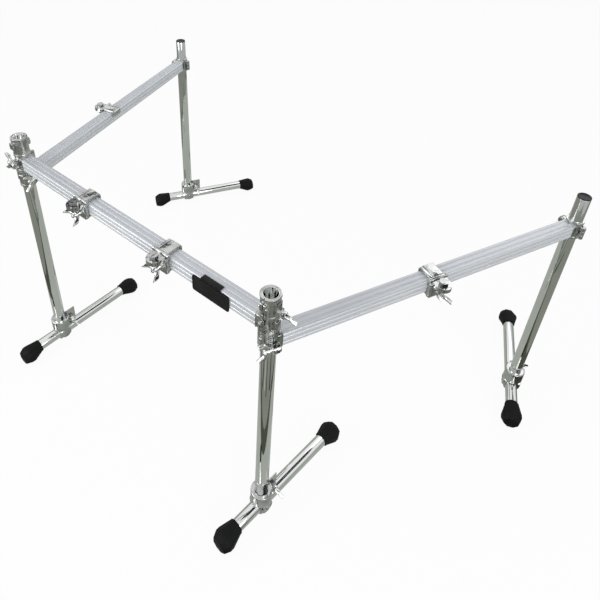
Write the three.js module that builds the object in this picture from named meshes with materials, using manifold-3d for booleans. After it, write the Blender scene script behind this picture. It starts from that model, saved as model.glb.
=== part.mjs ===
import * as THREE from 'three';
import { mergeVertices } from 'three/addons/utils/BufferGeometryUtils.js';
import Module from 'manifold-3d';

// A three-sided drum rack: three ribbed bars on four chromed posts, clamped at each bar end,
// with a T-foot under each post and four rack clamps for drum arms.
// Millimetres, +Z up, the front bar along X, the player's side towards +Y.

const wasm = await Module();
wasm.setup();

const turn = THREE.MathUtils.degToRad;

// Layout, seen from above: post centre to post centre, and where each wing and foot points
const FRONT_SPAN = 962;
const RIGHT_SPAN = 974;
const LEFT_SPAN = 941;
const RIGHT_WING_TURN = turn(64.3);
const LEFT_WING_TURN = turn(105.5);
const FOOT_TURNS = {
  corner_right: turn(83.8),
  corner_left: turn(88.6),
  end_right: turn(111),
  end_left: turn(58.1),
};
const FRONT_BAR_Z = 801;

// Clearances, and the overrun of every cut
const REST_GAP = 0.3;
const TUBE_PLAY = 0.35;
const PIN_PLAY = 0.4;
const OVER = 1;

// Posts and foot tubes share one tube
const TUBE_R = 19.05;
const TUBE_WALL = 2;
const END_POST_TOP = 850;
const CAP_RIM = 2.5;
const CAP_PLUG = 18;

// Bars: a rounded square with two grooves on each face
const BAR_W = 40;
const BAR_WALL = 3;
const BAR_CORNER = 5;
const GROOVE_W = 5;
const GROOVE_DEPTH = 1.2;
const GROOVE_OFFSET = 7.5;

// Bar-end clamps: a split barrel round the post, plugged into the bar
const BARREL_R = 23.4;
const SPLIT = 1.5;
const WING_BARREL_HALF = 28;
const COLLAR_TOP = 85;
const STACK_GAP = 0.5;
const SOCKET_X = 26;
const SOCKET_BACK = 12;
const TONGUE = 34;
const EAR_T = 6;
const EAR_R = 13;
const BOLT_OFFSET = 8.6;
const BOSS_R = 11.5;
const BOSS_T = 5;
const HINGE_R = 7;
const HINGE_PIN_R = 3;
const HINGE_HALF = 20;
const DOOR_KNUCKLE_HALF = 7;
const HINGE_GAP = 0.6;
const LOBE_Z = 50;
const LOBE_H = 22;
const LOBE_OUT = 5.6;
const LOBE_T = 8;
const LOBE_SCREW_R = 3;
const LOBE_SCREW_H = 2.5;

// Wing bolts
const BOLT_R = 4;
const HUB_R = 9.5;
const HUB_H = 8;
const WING_SPAN_R = 26;
const WING_T = 5;
const WING_FLARE = 18;
const WING_ROOT_H = 9;
const WING_TIP_H = 11;
const STUB_R = 5;
const STUB_H = 9;
const SLEEVE_R = 6.5;
const CLAMP_SLEEVE = 6;
const CLAMP_ROLLS = {
  front_corner_left: turn(85),
  front_corner_right: turn(57),
  right_corner_right: turn(90),
  right_end_right: turn(90),
  left_corner_left: turn(90),
  left_end_left: turn(90),
};
const FOOT_ROLL = turn(69);
const HOLDER_ROLL = turn(37);

// T-feet
const FOOT_AXIS_Z = 37;
const FOOT_NEAR_END = 141.7;
const FOOT_FAR_END = 315;
const RUBBER_SIDES = 8;
const RUBBER_LENGTH = 68;
const RUBBER_SLEEVE_R = 21.3;
const RUBBER_FLARE = 38;
const RUBBER_HALF_W = 31;
const RUBBER_HALF_H = 29.5;
const RUBBER_NOSE = 18;
const RUBBER_NOSE_R = 23;
const RUBBER_NOSE_Z = 27;
const RUBBER_GRIP = 47.5;
const SADDLE_R = 25.5;
const SADDLE_HALF = 21;
const FOOT_BOSS_R = 20;
const FOOT_BOSS_Z = 42;
const FOOT_BOSS_REACH = 28;
const FOOT_FLOOR = 4;
const COLLAR_H = 44;
const COLLAR_R = 31;
const BASE_SLOT = 3;
const BASE_EAR_T = 9;
const BASE_EAR_Z = 79;
const BASE_BOLT_X = 38;
const BASE_SLEEVE = 3;

// Rack clamps for drum arms
const HOLDER_HALF = 25;
const HOLDER_WIDE_HALF = 28;
const HOLDER_T = 14;
const HOLDER_DROP = 29;
const HOLDER_SHOULDER = 16;
const LIP_REACH = 14;
const LIP_T = 6;
const HEAD_OFFSET = 46;
const HEAD_R = 21;
const HEAD_BACK = 29.5;
const HEAD_H = 12;
const HEAD_TOP = 24;
const ARM_BORE_R = 11.3;
const RIDGE_Y = 24;
const RIDGE_Z = 26;
const RIDGE_R = 4.5;
const RIDGE_PIN_R = 2;
const JAW_HALF = 21;
const JAW_T = 5.5;
const JAW_RIB_W = 7;
const JAW_RIB_H = 3;
const JAW_RIB_OFFSET = 11;
const JAW_HOOK_LOW = 5;
const HOLDER_BOLT_Z = -15;
const HOLDER_SLEEVE = 6;
const FRONT_HOLDER = 321;
const LEFT_HOLDER = 434;
const RIGHT_HOLDER = 456;

// Badge plate, hooked over the front bar
const BADGE_W = 116;
const BADGE_T = 3;
const BADGE_TOP = 18;
const BADGE_H = 48;
const BADGE_CORNER = 6;
const BADGE_TAB_W = 62;
const BADGE_TAB_REACH = 14;
const BADGE_FROM_RIGHT = 159;

const BAR_HALF = BAR_W / 2;
const WING_BAR_Z = FRONT_BAR_Z - 2 * WING_BARREL_HALF - STACK_GAP;
const CORNER_POST_TOP = FRONT_BAR_Z + COLLAR_TOP;
const POST_BOTTOM = FOOT_AXIS_Z + TUBE_R + FOOT_FLOOR;
const BOLT_Y = BARREL_R + BOLT_OFFSET;
const HINGE_Y = BARREL_R + HINGE_GAP + HINGE_R;

const SIDES = 20;
const SMALL_SIDES = 10;
const HEX_SIDES = 6;

const chrome = new THREE.MeshStandardMaterial({ color: 0xc9ced2, metalness: 1, roughness: 0.12 });
const castMetal = new THREE.MeshStandardMaterial({ color: 0xb9bdc0, metalness: 1, roughness: 0.28 });
const barMetal = new THREE.MeshStandardMaterial({ color: 0xb4bac0, metalness: 0.9, roughness: 0.42 });
const rubber = new THREE.MeshStandardMaterial({ color: 0x17171a, metalness: 0, roughness: 0.85 });
const blackPlastic = new THREE.MeshStandardMaterial({ color: 0x1b1b1e, metalness: 0, roughness: 0.5 });

// A closed three.js geometry as a solid that can be joined and cut
function solid(geometry) {
  geometry.deleteAttribute('normal');
  geometry.deleteAttribute('uv');
  const merged = mergeVertices(geometry);
  return new wasm.Manifold(
    new wasm.Mesh({
      numProp: 3,
      vertProperties: merged.getAttribute('position').array,
      triVerts: new Uint32Array(merged.index.array),
    }),
  );
}

function mesh(name, shape, material) {
  const { vertProperties, triVerts } = shape.getMesh();
  const geometry = new THREE.BufferGeometry();
  geometry.setAttribute('position', new THREE.BufferAttribute(vertProperties, 3));
  geometry.setIndex(new THREE.BufferAttribute(triVerts, 1));
  geometry.computeVertexNormals();
  const made = new THREE.Mesh(geometry, material);
  made.name = name;
  return made;
}

function joined(pieces) {
  return pieces.reduce((all, piece) => all.add(piece));
}

function cut(shape, holes) {
  return holes.reduce((left, hole) => left.subtract(hole), shape);
}

function block(x0, x1, y0, y1, z0, z1) {
  const geometry = new THREE.BoxGeometry(x1 - x0, y1 - y0, z1 - z0);
  geometry.translate((x0 + x1) / 2, (y0 + y1) / 2, (z0 + z1) / 2);
  return solid(geometry);
}

// A round rod along one axis, centred on (a, b) of the other two axes in their x, y, z order
function rod(axis, radius, from, to, a = 0, b = 0, sides = SIDES) {
  const geometry = new THREE.CylinderGeometry(radius, radius, to - from, sides);
  const middle = (from + to) / 2;
  if (axis === 'x') {
    geometry.rotateZ(-Math.PI / 2);
    geometry.translate(middle, a, b);
  } else if (axis === 'y') {
    geometry.translate(a, middle, b);
  } else {
    geometry.rotateX(Math.PI / 2);
    geometry.translate(a, b, middle);
  }
  return solid(geometry);
}

function group(x, y, z, angle) {
  const made = new THREE.Group();
  made.position.set(x, y, z);
  made.rotation.z = angle;
  return made;
}

// Bars

function barOutline() {
  const shape = new THREE.Shape();
  const reach = BAR_HALF - BAR_CORNER;
  for (let side = 0; side < 4; side++) {
    const angle = (side * Math.PI) / 2;
    const corner = new THREE.Vector2(-reach, reach).rotateAround(new THREE.Vector2(), angle);
    const points = [[reach, BAR_HALF]];
    for (const middle of [GROOVE_OFFSET, -GROOVE_OFFSET]) {
      points.push([middle + GROOVE_W / 2, BAR_HALF]);
      points.push([middle + GROOVE_W / 2 - GROOVE_DEPTH, BAR_HALF - GROOVE_DEPTH]);
      points.push([middle - GROOVE_W / 2 + GROOVE_DEPTH, BAR_HALF - GROOVE_DEPTH]);
      points.push([middle - GROOVE_W / 2, BAR_HALF]);
    }
    for (const [x, y] of points) {
      const point = new THREE.Vector2(x, y).rotateAround(new THREE.Vector2(), angle);
      if (side === 0 && x === reach) shape.moveTo(point.x, point.y);
      else shape.lineTo(point.x, point.y);
    }
    shape.absarc(corner.x, corner.y, BAR_CORNER, angle + Math.PI / 2, angle + Math.PI, false);
  }
  const inner = BAR_HALF - BAR_WALL;
  const hole = new THREE.Path();
  hole.moveTo(-inner, -inner);
  hole.lineTo(-inner, inner);
  hole.lineTo(inner, inner);
  hole.lineTo(inner, -inner);
  hole.closePath();
  shape.holes.push(hole);
  return shape;
}

function bar(name, span) {
  const length = span - 2 * (SOCKET_X + REST_GAP);
  const geometry = new THREE.ExtrudeGeometry(barOutline(), {
    depth: length,
    bevelEnabled: false,
    curveSegments: 3,
  });
  geometry.rotateY(Math.PI / 2);
  geometry.translate(SOCKET_X + REST_GAP, 0, 0);
  return mesh(name, solid(geometry), barMetal);
}

// Posts

function tube(axis, from, to, a = 0, b = 0) {
  const wall = rod(axis, TUBE_R, from, to, a, b);
  return wall.subtract(rod(axis, TUBE_R - TUBE_WALL, from - OVER, to + OVER, a, b));
}

function endCap(name) {
  const rim = rod('z', TUBE_R, END_POST_TOP + REST_GAP, END_POST_TOP + CAP_RIM);
  const plugR = TUBE_R - TUBE_WALL - REST_GAP;
  const plug = rod('z', plugR, END_POST_TOP - CAP_PLUG, END_POST_TOP + OVER);
  return mesh(name, rim.add(plug), blackPlastic);
}

// Wing bolt along X: its tip at x = tip, its sleeve starting at x = seat and its hub at x = seat - sleeve,
// the two wings flared towards -X and turned about X by the roll
function wingBolt(name, tip, seat, roll, sleeve) {
  const outline = new THREE.Shape();
  outline.moveTo(0, -WING_ROOT_H / 2);
  outline.lineTo(HUB_R, -WING_ROOT_H / 2);
  outline.lineTo(WING_SPAN_R, WING_FLARE - WING_TIP_H / 2);
  outline.absarc(
    WING_SPAN_R - WING_T,
    WING_FLARE,
    WING_TIP_H / 2,
    -Math.PI / 4,
    (Math.PI * 3) / 4,
    false,
  );
  outline.lineTo(HUB_R / 2, WING_ROOT_H / 2);
  outline.lineTo(0, WING_ROOT_H / 2);
  const hubFar = seat - sleeve - HUB_H;
  const wings = [1, -1].map((side) => {
    const geometry = new THREE.ExtrudeGeometry(outline, {
      depth: WING_T,
      bevelEnabled: false,
      curveSegments: 3,
    });
    geometry.translate(0, 0, -WING_T / 2);
    geometry.rotateZ(Math.PI / 2);
    if (side < 0) geometry.rotateX(Math.PI);
    geometry.rotateX(roll);
    geometry.translate(hubFar, 0, 0);
    return solid(geometry);
  });
  const pieces = [
    rod('x', BOLT_R, seat - sleeve - OVER, tip, 0, 0, SMALL_SIDES),
    rod('x', HUB_R, hubFar, seat - sleeve, 0, 0, SMALL_SIDES),
    rod('x', SLEEVE_R, seat - sleeve - OVER, seat, 0, 0, SMALL_SIDES),
    rod('x', STUB_R, hubFar - STUB_H, hubFar + OVER, 0, 0, HEX_SIDES),
    ...wings,
  ];
  return mesh(name, joined(pieces), chrome);
}

// Bar-end clamps. Local frame: the post's axis on Z, the bar along +X with its centre at z = 0,
// the wing bolt on the -Y side and the hinge on the +Y side.

// One half of the barrel with its bolt ear, on the side of the given sign of x
function halfBarrel(sign, low, high) {
  const face = (sign * SPLIT) / 2;
  const far = sign * (BARREL_R + OVER);
  const keep = block(
    Math.min(face, far),
    Math.max(face, far),
    -BARREL_R - OVER,
    BARREL_R + OVER,
    low - OVER,
    high + OVER,
  );
  const ring = rod('z', BARREL_R, low, high).intersect(keep);
  const ear0 = Math.min(face, face + sign * EAR_T);
  const ear1 = Math.max(face, face + sign * EAR_T);
  const ear = block(ear0, ear1, -BOLT_Y, -TUBE_R - OVER, -EAR_R, EAR_R);
  const earEnd = rod('x', EAR_R, ear0, ear1, -BOLT_Y, 0, SMALL_SIDES);
  const pieces = [ring, ear, earEnd];
  if (high > LOBE_Z + LOBE_H) {
    for (const side of [1, -1]) {
      const near = side * TUBE_R;
      const out = side * (BARREL_R + LOBE_OUT);
      const lobe0 = Math.min(face, face + sign * LOBE_T);
      const lobe1 = Math.max(face, face + sign * LOBE_T);
      const y0 = Math.min(near, out);
      const y1 = Math.max(near, out);
      pieces.push(block(lobe0, lobe1, y0, y1, LOBE_Z, LOBE_Z + LOBE_H));
      const screw0 = sign > 0 ? lobe1 - OVER : lobe0 - LOBE_SCREW_H;
      const screw1 = sign > 0 ? lobe1 + LOBE_SCREW_H : lobe0 + OVER;
      const screwY = side * (BARREL_R + LOBE_OUT - LOBE_SCREW_R);
      pieces.push(rod('x', LOBE_SCREW_R, screw0, screw1, screwY, LOBE_Z + LOBE_H / 2, SMALL_SIDES));
    }
  }
  return joined(pieces);
}

function clampBody(name, low, high) {
  const face = SPLIT / 2;
  const pieces = [halfBarrel(1, low, high)];
  pieces.push(block(SOCKET_BACK, SOCKET_X, -BAR_HALF, BAR_HALF, -BAR_HALF, BAR_HALF));
  const tongueHalf = BAR_HALF - BAR_WALL - REST_GAP;
  pieces.push(
    block(SOCKET_X - OVER, SOCKET_X + TONGUE, -tongueHalf, tongueHalf, -tongueHalf, tongueHalf),
  );
  const earFace = face + EAR_T;
  pieces.push(rod('x', BOSS_R, earFace - OVER, earFace + BOSS_T, -BOLT_Y, 0));
  const knuckle = DOOR_KNUCKLE_HALF + REST_GAP;
  for (const [z0, z1] of [[-HINGE_HALF, -knuckle], [knuckle, HINGE_HALF]]) {
    pieces.push(rod('z', HINGE_R, z0, z1, 0, HINGE_Y, SMALL_SIDES));
    pieces.push(block(face, HINGE_R, TUBE_R + OVER, HINGE_Y, z0, z1));
  }
  const slotR = BOLT_R + PIN_PLAY;
  const earEnd = -BOLT_Y - EAR_R - OVER;
  const holes = [
    rod('z', TUBE_R + TUBE_PLAY, low - OVER, high + OVER),
    rod('x', slotR, -OVER, EAR_T + 2 * OVER, -BOLT_Y, 0, SMALL_SIDES),
    block(-OVER, EAR_T + 2 * OVER, earEnd, -BOLT_Y, -slotR, slotR),
  ];
  const pin = rod('z', HINGE_PIN_R, -HINGE_HALF, HINGE_HALF, 0, HINGE_Y, SMALL_SIDES);
  return mesh(name, cut(joined(pieces), holes).add(pin), castMetal);
}

function clampDoor(name, low, high) {
  const pieces = [halfBarrel(-1, low, high)];
  const half = DOOR_KNUCKLE_HALF;
  pieces.push(rod('z', HINGE_R, -half, half, 0, HINGE_Y, SMALL_SIDES));
  pieces.push(block(-HINGE_R, -SPLIT / 2, TUBE_R + OVER, HINGE_Y, -half, half));
  const holes = [
    rod('z', TUBE_R + TUBE_PLAY, low - OVER, high + OVER),
    rod('x', BOLT_R + PIN_PLAY, -EAR_T - 2 * OVER, OVER, -BOLT_Y, 0, SMALL_SIDES),
    rod('z', HINGE_PIN_R + PIN_PLAY, -half - OVER, half + OVER, 0, HINGE_Y, SMALL_SIDES),
  ];
  return mesh(name, cut(joined(pieces), holes), castMetal);
}

// A whole clamp on the post at (x, y), with its bar leaving at the given angle
function barClamp(name, x, y, z, angle, low, high) {
  const made = group(x, y, z, angle);
  made.add(clampBody(`${name}_body`, low, high));
  made.add(clampDoor(`${name}_door`, low, high));
  const ear = SPLIT / 2 + EAR_T;
  const seat = -ear - REST_GAP;
  const bolt = wingBolt(`${name}_bolt`, ear, seat, CLAMP_ROLLS[name], CLAMP_SLEEVE);
  bolt.position.y = -BOLT_Y;
  made.add(bolt);
  return made;
}

// T-feet. Local frame: the post's axis on Z, the floor at z = 0, the long side of the foot along +X.

function baseCasting(name) {
  const top = POST_BOTTOM + COLLAR_H;
  const earY = BASE_SLOT / 2 + BASE_EAR_T;
  const ear0 = BASE_EAR_Z - EAR_R;
  const ear1 = BASE_EAR_Z + EAR_R;
  const pieces = [
    rod('x', SADDLE_R, -SADDLE_HALF, SADDLE_HALF, 0, FOOT_AXIS_Z),
    rod('z', SADDLE_R, FOOT_AXIS_Z, POST_BOTTOM + OVER),
    rod('y', FOOT_BOSS_R, -FOOT_BOSS_REACH, FOOT_BOSS_REACH, 0, FOOT_BOSS_Z),
    rod('z', COLLAR_R, POST_BOTTOM, top),
    block(TUBE_R, BASE_BOLT_X, -earY, earY, ear0, ear1),
    rod('y', EAR_R, -earY, earY, BASE_BOLT_X, BASE_EAR_Z, SMALL_SIDES),
  ];
  const far = BASE_BOLT_X + EAR_R + OVER;
  const holes = [
    rod('x', TUBE_R + REST_GAP, -FOOT_BOSS_REACH, FOOT_BOSS_REACH, 0, FOOT_AXIS_Z),
    rod('z', TUBE_R + TUBE_PLAY, POST_BOTTOM - REST_GAP, top + OVER),
    block(0, far, -BASE_SLOT / 2, BASE_SLOT / 2, POST_BOTTOM + OVER, top + OVER),
    rod('y', BOLT_R + PIN_PLAY, -earY - OVER, earY + OVER, BASE_BOLT_X, BASE_EAR_Z, SMALL_SIDES),
  ];
  return mesh(name, cut(joined(pieces), holes), castMetal);
}

// An eight-sided flared foot: its mouth round the tube at x = 0, its widest part down on the floor
function rubberFoot(name) {
  const corner = 1 / Math.cos(Math.PI / RUBBER_SIDES);
  const widest = RUBBER_LENGTH - RUBBER_NOSE;
  const low = RUBBER_HALF_H - FOOT_AXIS_Z;
  const rings = [
    [0, RUBBER_SLEEVE_R, RUBBER_SLEEVE_R, 0],
    [RUBBER_FLARE, RUBBER_HALF_W, RUBBER_HALF_H, low],
    [widest, RUBBER_HALF_W, RUBBER_HALF_H, low],
    [RUBBER_LENGTH, RUBBER_NOSE_R, RUBBER_NOSE_R, RUBBER_NOSE_Z - FOOT_AXIS_Z],
  ];
  const points = [];
  for (const [x, halfY, halfZ, z] of rings) {
    for (let side = 0; side < RUBBER_SIDES; side++) {
      const angle = ((2 * side + 1) * Math.PI) / RUBBER_SIDES;
      points.push([x, halfY * corner * Math.cos(angle), z + halfZ * corner * Math.sin(angle)]);
    }
  }
  const shape = wasm.Manifold.hull(points);
  const socket = rod('x', TUBE_R + REST_GAP, -OVER, RUBBER_GRIP);
  return mesh(name, shape.subtract(socket), rubber);
}

function foot(name, x, y, angle) {
  const made = group(x, y, 0, angle);
  made.add(baseCasting(`${name}_base`));
  made.add(mesh(`${name}_tube`, tube('x', -FOOT_NEAR_END, FOOT_FAR_END, 0, FOOT_AXIS_Z), chrome));
  const nearRubber = rubberFoot(`${name}_rubber_near`);
  nearRubber.position.set(RUBBER_GRIP - REST_GAP - FOOT_NEAR_END, 0, FOOT_AXIS_Z);
  nearRubber.rotation.z = Math.PI;
  const farRubber = rubberFoot(`${name}_rubber_far`);
  farRubber.position.set(FOOT_FAR_END - RUBBER_GRIP + REST_GAP, 0, FOOT_AXIS_Z);
  made.add(nearRubber, farRubber);
  const seat = BASE_SLOT / 2 + BASE_EAR_T + REST_GAP;
  const bolt = wingBolt(`${name}_bolt`, seat, -seat, FOOT_ROLL, BASE_SLEEVE);
  bolt.position.set(BASE_BOLT_X, 0, BASE_EAR_Z);
  bolt.rotation.z = Math.PI / 2;
  made.add(bolt);
  return made;
}

// Rack clamps. Local frame: the bar's centre line on X, +Y away from the player, +Z up.

function holderBody(name) {
  const face = BAR_HALF + REST_GAP;
  const back = face + HOLDER_T;
  const headLow = HEAD_TOP - HEAD_H;
  const half = HOLDER_HALF;
  const wide = HOLDER_WIDE_HALF;
  const notch = JAW_HALF + REST_GAP;
  const shoulder = RIDGE_Z - HOLDER_SHOULDER;
  const pieces = [
    block(-half, half, face, back, -HOLDER_DROP, BAR_HALF),
    block(-wide, wide, face, back, shoulder, BAR_HALF),
    block(-half, half, BAR_HALF - LIP_REACH, face + OVER, -face - LIP_T, -face),
    rod('z', HEAD_R, headLow, HEAD_TOP, 0, HEAD_OFFSET),
    block(-HEAD_R, HEAD_R, HEAD_BACK, HEAD_OFFSET, headLow, HEAD_TOP),
  ];
  for (const side of [1, -1]) {
    const x0 = Math.min(side * wide, side * notch);
    const x1 = Math.max(side * wide, side * notch);
    pieces.push(rod('x', RIDGE_R, x0, x1, RIDGE_Y, RIDGE_Z, SMALL_SIDES));
    pieces.push(block(x0, x1, face, RIDGE_Y + RIDGE_R, shoulder, RIDGE_Z));
  }
  const trimmed = joined(pieces)
    .subtract(block(-notch, notch, face - OVER, HEAD_BACK, BAR_HALF, HEAD_TOP + OVER))
    .subtract(rod('z', ARM_BORE_R, headLow - OVER, HEAD_TOP + OVER, 0, HEAD_OFFSET))
    .subtract(rod('y', BOLT_R + PIN_PLAY, 0, back + OVER, 0, HOLDER_BOLT_Z, SMALL_SIDES));
  const pin = rod('x', RIDGE_PIN_R, -wide, wide, RIDGE_Y, RIDGE_Z, SMALL_SIDES);
  return mesh(name, trimmed.add(pin), castMetal);
}

function holderJaw(name) {
  const face = BAR_HALF + REST_GAP;
  const top = face + JAW_T;
  const half = JAW_HALF;
  const pieces = [
    block(-half, half, -face - OVER, RIDGE_Y, face, top),
    rod('x', JAW_T, -half, half, -face, face, SMALL_SIDES),
    block(-half, half, -face - JAW_T, -face, JAW_HOOK_LOW, face),
    rod('x', RIDGE_R, -half, half, RIDGE_Y, RIDGE_Z, SMALL_SIDES),
  ];
  for (const side of [1, -1]) {
    const x = side * JAW_RIB_OFFSET;
    const y0 = -face - JAW_T / 2;
    const x0 = x - JAW_RIB_W / 2;
    pieces.push(block(x0, x0 + JAW_RIB_W, y0, RIDGE_Y - RIDGE_R, top - OVER, top + JAW_RIB_H));
  }
  const holes = [
    block(-half - OVER, half + OVER, -face, face, -face, face),
    rod('x', RIDGE_PIN_R + PIN_PLAY, -half - OVER, half + OVER, RIDGE_Y, RIDGE_Z, SMALL_SIDES),
  ];
  return mesh(name, cut(joined(pieces), holes), castMetal);
}

function holder(name, x, y, z, angle) {
  const made = group(x, y, z, angle);
  made.add(holderBody(`${name}_body`));
  made.add(holderJaw(`${name}_jaw`));
  const tip = BAR_HALF + REST_GAP;
  const seat = tip + HOLDER_T + REST_GAP;
  const bolt = wingBolt(`${name}_bolt`, -tip, -seat, HOLDER_ROLL, HOLDER_SLEEVE);
  bolt.position.z = HOLDER_BOLT_Z;
  bolt.rotation.z = -Math.PI / 2;
  made.add(bolt);
  return made;
}

// Badge plate: a rounded plate on the front bar's outer face, with a tab over its top

function badge(name) {
  const w = BADGE_W / 2 - BADGE_CORNER;
  const top = BADGE_TOP - BADGE_CORNER;
  const low = BADGE_TOP - BADGE_H + BADGE_CORNER;
  const outline = new THREE.Shape();
  outline.absarc(w, top, BADGE_CORNER, 0, Math.PI / 2, false);
  outline.absarc(-w, top, BADGE_CORNER, Math.PI / 2, Math.PI, false);
  outline.absarc(-w, low, BADGE_CORNER, Math.PI, (Math.PI * 3) / 2, false);
  outline.absarc(w, low, BADGE_CORNER, (Math.PI * 3) / 2, Math.PI * 2, false);
  const geometry = new THREE.ExtrudeGeometry(outline, {
    depth: BADGE_T,
    bevelEnabled: false,
    curveSegments: 3,
  });
  geometry.rotateX(Math.PI / 2);
  const face = BAR_HALF + REST_GAP;
  geometry.translate(0, -face, 0);
  const tab = BADGE_TAB_W / 2;
  const reach = BADGE_TAB_REACH - face;
  const hook = block(-tab, tab, -face - BADGE_T, reach, face, face + BADGE_T);
  const neck = block(-tab, tab, -face - BADGE_T, -face, BADGE_TOP - BADGE_CORNER, face + BADGE_T);
  return mesh(name, joined([solid(geometry), hook, neck]), blackPlastic);
}

// The whole rack

const half = FRONT_SPAN / 2;
const posts = {
  corner_right: [half, 0],
  corner_left: [-half, 0],
  end_right: [half + RIGHT_SPAN * Math.cos(RIGHT_WING_TURN), RIGHT_SPAN * Math.sin(RIGHT_WING_TURN)],
  end_left: [-half + LEFT_SPAN * Math.cos(LEFT_WING_TURN), LEFT_SPAN * Math.sin(LEFT_WING_TURN)],
};

function along(corner, angle, distance) {
  const [x, y] = posts[corner];
  return [x + distance * Math.cos(angle), y + distance * Math.sin(angle)];
}

const rack = new THREE.Group();

for (const [place, [x, y]] of Object.entries(posts)) {
  const isCorner = place.startsWith('corner');
  const post = group(x, y, 0, 0);
  const top = isCorner ? CORNER_POST_TOP : END_POST_TOP;
  post.add(mesh(`${place}_post`, tube('z', POST_BOTTOM, top), chrome));
  if (!isCorner) post.add(endCap(`${place}_cap`));
  rack.add(post);
  rack.add(foot(place, x, y, FOOT_TURNS[place]));
}

const bars = [
  ['front', 'corner_left', 'corner_right', 0, FRONT_SPAN],
  ['right', 'corner_right', 'end_right', RIGHT_WING_TURN, RIGHT_SPAN],
  ['left', 'corner_left', 'end_left', LEFT_WING_TURN, LEFT_SPAN],
];
for (const [name, from, to, angle, span] of bars) {
  const isFront = name === 'front';
  const z = isFront ? FRONT_BAR_Z : WING_BAR_Z;
  const high = isFront ? COLLAR_TOP : WING_BARREL_HALF;
  const made = group(...posts[from], z, angle);
  made.add(bar(`${name}_bar`, span));
  rack.add(made);
  for (const [post, facing] of [[from, angle], [to, angle + Math.PI]]) {
    rack.add(barClamp(`${name}_${post}`, ...posts[post], z, facing, -WING_BARREL_HALF, high));
  }
}

const frontHolders = [
  ['holder_front_left', FRONT_HOLDER],
  ['holder_front_right', FRONT_SPAN - FRONT_HOLDER],
];
for (const [name, distance] of frontHolders) {
  rack.add(holder(name, ...along('corner_left', 0, distance), FRONT_BAR_Z, Math.PI));
}
const rightPlace = along('corner_right', RIGHT_WING_TURN, RIGHT_HOLDER);
rack.add(holder('holder_right', ...rightPlace, WING_BAR_Z, RIGHT_WING_TURN + Math.PI));
const leftPlace = along('corner_left', LEFT_WING_TURN, LEFT_HOLDER);
rack.add(holder('holder_left', ...leftPlace, WING_BAR_Z, LEFT_WING_TURN));

const plate = group(...along('corner_right', Math.PI, BADGE_FROM_RIGHT), FRONT_BAR_Z, 0);
plate.add(badge('badge_plate'));
rack.add(plate);

// The origin is under the middle of the rack, on the floor
const model = new THREE.Group();
model.add(rack);
const bounds = new THREE.Box3().setFromObject(rack, true);
const middle = bounds.getCenter(new THREE.Vector3());
rack.position.set(-middle.x, -middle.y, -bounds.min.z);

export default model;
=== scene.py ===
import math

import bmesh
import bpy
from mathutils import Matrix, Vector


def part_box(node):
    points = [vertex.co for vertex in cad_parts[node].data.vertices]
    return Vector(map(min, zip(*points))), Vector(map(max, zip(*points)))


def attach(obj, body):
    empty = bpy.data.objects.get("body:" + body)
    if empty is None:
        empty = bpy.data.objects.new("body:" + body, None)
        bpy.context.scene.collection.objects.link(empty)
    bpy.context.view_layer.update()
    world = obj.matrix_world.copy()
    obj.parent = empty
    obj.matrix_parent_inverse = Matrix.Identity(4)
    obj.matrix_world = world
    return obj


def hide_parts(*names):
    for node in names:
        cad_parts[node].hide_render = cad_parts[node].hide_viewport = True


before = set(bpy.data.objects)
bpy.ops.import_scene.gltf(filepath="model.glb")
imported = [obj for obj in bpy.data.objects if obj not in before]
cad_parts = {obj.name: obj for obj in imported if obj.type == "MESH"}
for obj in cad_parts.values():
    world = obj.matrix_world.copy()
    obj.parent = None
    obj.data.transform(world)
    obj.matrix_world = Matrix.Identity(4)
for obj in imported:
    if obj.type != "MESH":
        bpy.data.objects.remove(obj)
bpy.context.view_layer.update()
bpy.ops.object.select_all(action="DESELECT")
stage_scene = bpy.context.scene

# The view of the photograph: a lens of about 35 mm, standing outside the near corner and looking down
# over it along the rack. Its axis meets the picture above the middle, so the film is shifted.
view_right = Vector((0.778622, 0.626730, 0.030920))
view_up = Vector((-0.354995, 0.399327, 0.845291))
view_back = view_right.cross(view_up)
lens = bpy.data.cameras.new("photograph_view")
lens.sensor_width = 36.0
lens.lens = 34.976
lens.shift_x = 0.05535
lens.shift_y = -0.25528
lens.clip_end = 60.0
camera = bpy.data.objects.new("photograph_view", lens)
camera.matrix_world = Matrix.Translation((0.931607, -1.230575, 1.808925)) @ Matrix(
    (view_right, view_up, view_back)
).transposed().to_4x4()
stage_scene.collection.objects.link(camera)
stage_scene.camera = camera
stage_scene.view_settings.view_transform = "Standard"

# The studio: a white sweep, two broad soft boxes and a weaker one behind. Cards that only the metal sees glow
# with fixed tones as painted reflections of the lit paper, floor and walls of the room, with a painted shadow
# along the paper's edge, and black ones are painted dark reflections that draw lines along the chrome.
WHITE = (1.0, 1.0, 1.0, 1.0)
SWEEP_GLOW = 0.94
SWEEP_LOW = -0.0006
STRIP_HIGH = -0.00040
ROOM = 3.4
ROOM_TALL = 1.2


def seen_directly(nodes, links):
    """One on rays from the camera, off a mirror or through glass, and nought on all others."""
    path = nodes.new("ShaderNodeLightPath")
    first = nodes.new("ShaderNodeMath")
    first.operation = "MAXIMUM"
    second = nodes.new("ShaderNodeMath")
    second.operation = "MAXIMUM"
    links.new(path.outputs["Is Camera Ray"], first.inputs[0])
    links.new(path.outputs["Is Glossy Ray"], first.inputs[1])
    links.new(first.outputs[0], second.inputs[0])
    links.new(path.outputs["Is Transmission Ray"], second.inputs[1])
    return second.outputs[0]


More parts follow.
